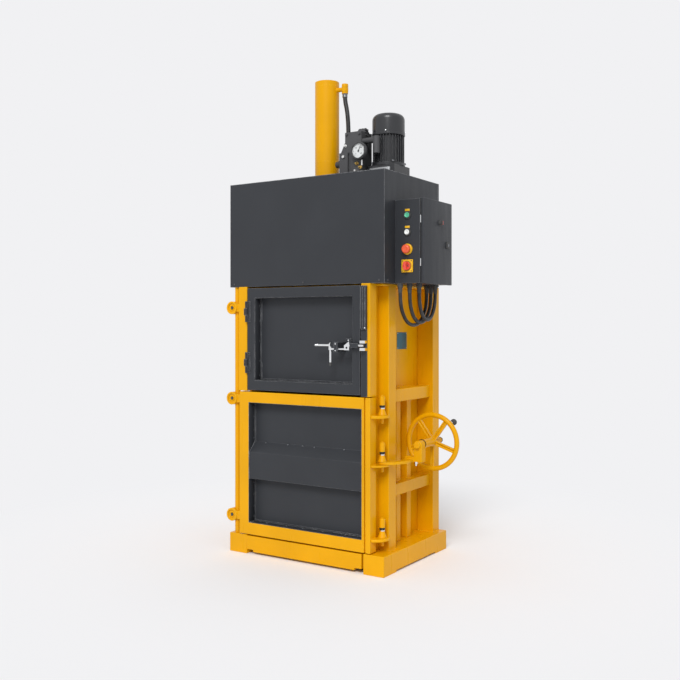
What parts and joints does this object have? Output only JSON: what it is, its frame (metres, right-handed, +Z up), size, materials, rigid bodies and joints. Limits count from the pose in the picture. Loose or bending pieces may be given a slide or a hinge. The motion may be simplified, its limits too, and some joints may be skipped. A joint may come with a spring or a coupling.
{
  "type": "vertical cardboard baler",
  "caption": "Upright baling press: steel frame, loading door over a bale door with a handwheel lock, hood, hydraulic cylinder, motor and control box.",
  "frame": {"origin": "on the floor, under the middle of the base", "axes": "+X to the machine's right, seen from the doors; +Y to its back; +Z up"},
  "size_m": [1.2995, 0.773, 2.741],
  "materials": {
    "yellow_paint": "semi-gloss yellow enamel",
    "dark_paint": "satin anthracite powder coat",
    "motor_paint": "satin dark grey enamel",
    "black_iron": "black painted iron",
    "black_plastic": "matt black",
    "gauge_face": "pale dial in a black case",
    "black_rubber": "black rubber",
    "bright_steel": "bright plated steel",
    "red_plastic": "glossy red",
    "green_plastic": "glossy green",
    "white_plastic": "glossy white"
  },
  "bodies": {
    "frame": {"base_skids": "yellow_paint", "base_rails": "yellow_paint", "floor_plate": "yellow_paint", "corner_posts": "yellow_paint", "side_walls": "yellow_paint", "rear_wall": "yellow_paint", "wall_lattices": "yellow_paint", "front_channels": "yellow_paint", "top_frame": "yellow_paint", "upper_jambs": "yellow_paint", "jamb_cover": "dark_paint", "latch_keeper": "bright_steel", "jamb_hinges": "dark_paint", "hinge_bar": "yellow_paint", "hood": "dark_paint", "cylinder_tube": "yellow_paint", "piston_rod": "bright_steel", "press_plate": "yellow_paint", "motor_body": "motor_paint", "motor_cowl": "motor_paint", "valve_block": "black_iron", "valve_solenoid": "black_plastic", "pressure_gauge": "gauge_face", "pressure_hose": "black_rubber", "control_box": "dark_paint", "control_box_hinges": "bright_steel", "control_bezels": "black_plastic", "cable_glands": "black_plastic", "cable_1": "black_rubber", "cable_2": "black_rubber", "cable_3": "black_rubber"},
    "bale_door": {"bale_door_frame": "yellow_paint", "bale_door_panel": "dark_paint", "bale_door_lugs": "yellow_paint", "lug_pins": "yellow_paint"},
    "lock_arm": {"lock_arm": "yellow_paint"},
    "handwheel": {"handwheel": "yellow_paint", "wheel_grip": "black_plastic"},
    "loading_door": {"loading_door_frame": "dark_paint", "loading_door_panel": "dark_paint", "loading_door_hinges": "dark_paint", "latch_guide": "dark_paint"},
    "latch_bolt": {"latch_bolt": "bright_steel"},
    "control_box_door": {"control_box_door": "dark_paint"},
    "main_switch": {"main_switch": "red_plastic"},
    "button_green": {"button_green": "green_plastic"},
    "button_white": {"button_white": "white_plastic"},
    "emergency_stop": {"emergency_stop": "red_plastic"}
  },
  "joints": [
    {"name": "bale_door_hinge", "type": "hinge", "parent": "frame", "child": "bale_door", "pos_m": [-0.4885, -0.338, 0.5], "axis": [0, 0, -1], "range_deg": [0, 110]},
    {"name": "lock_arm_swing", "type": "hinge", "parent": "bale_door", "child": "lock_arm", "pos_m": [0.465, -0.284, 0.588], "axis": [0, 0, -1], "range_deg": [0, 65]},
    {"name": "handwheel_turn", "type": "hinge", "parent": "lock_arm", "child": "handwheel", "pos_m": [0.59, 0.06, 0.674], "axis": [0, 1, 0], "continuous": true},
    {"name": "loading_door_hinge", "type": "hinge", "parent": "frame", "child": "loading_door", "pos_m": [-0.3935, -0.377, 1.2], "axis": [0, 0, -1], "range_deg": [0, 110]},
    {"name": "latch_slide", "type": "slide", "parent": "loading_door", "child": "latch_bolt", "axis": [-1, 0, 0], "range_m": [0, 0.035]},
    {"name": "control_box_door_hinge", "type": "hinge", "parent": "frame", "child": "control_box_door", "pos_m": [0.6785, -0.2485, 1.77], "axis": [0, 0, -1], "range_deg": [0, 100]},
    {"name": "main_switch_turn", "type": "hinge", "parent": "frame", "child": "main_switch", "pos_m": [0.601, -0.27, 1.641], "axis": [0, 1, 0], "range_deg": [0, 90]},
    {"name": "green_button_press", "type": "slide", "parent": "frame", "child": "button_green", "axis": [0, 1, 0], "range_m": [0, 0.004], "stiffness_N_per_m": 400},
    {"name": "white_button_press", "type": "slide", "parent": "frame", "child": "button_white", "axis": [0, 1, 0], "range_m": [0, 0.004], "stiffness_N_per_m": 400},
    {"name": "emergency_stop_press", "type": "slide", "parent": "frame", "child": "emergency_stop", "axis": [0, 1, 0], "range_m": [0, 0.004], "stiffness_N_per_m": 600}
  ]
}
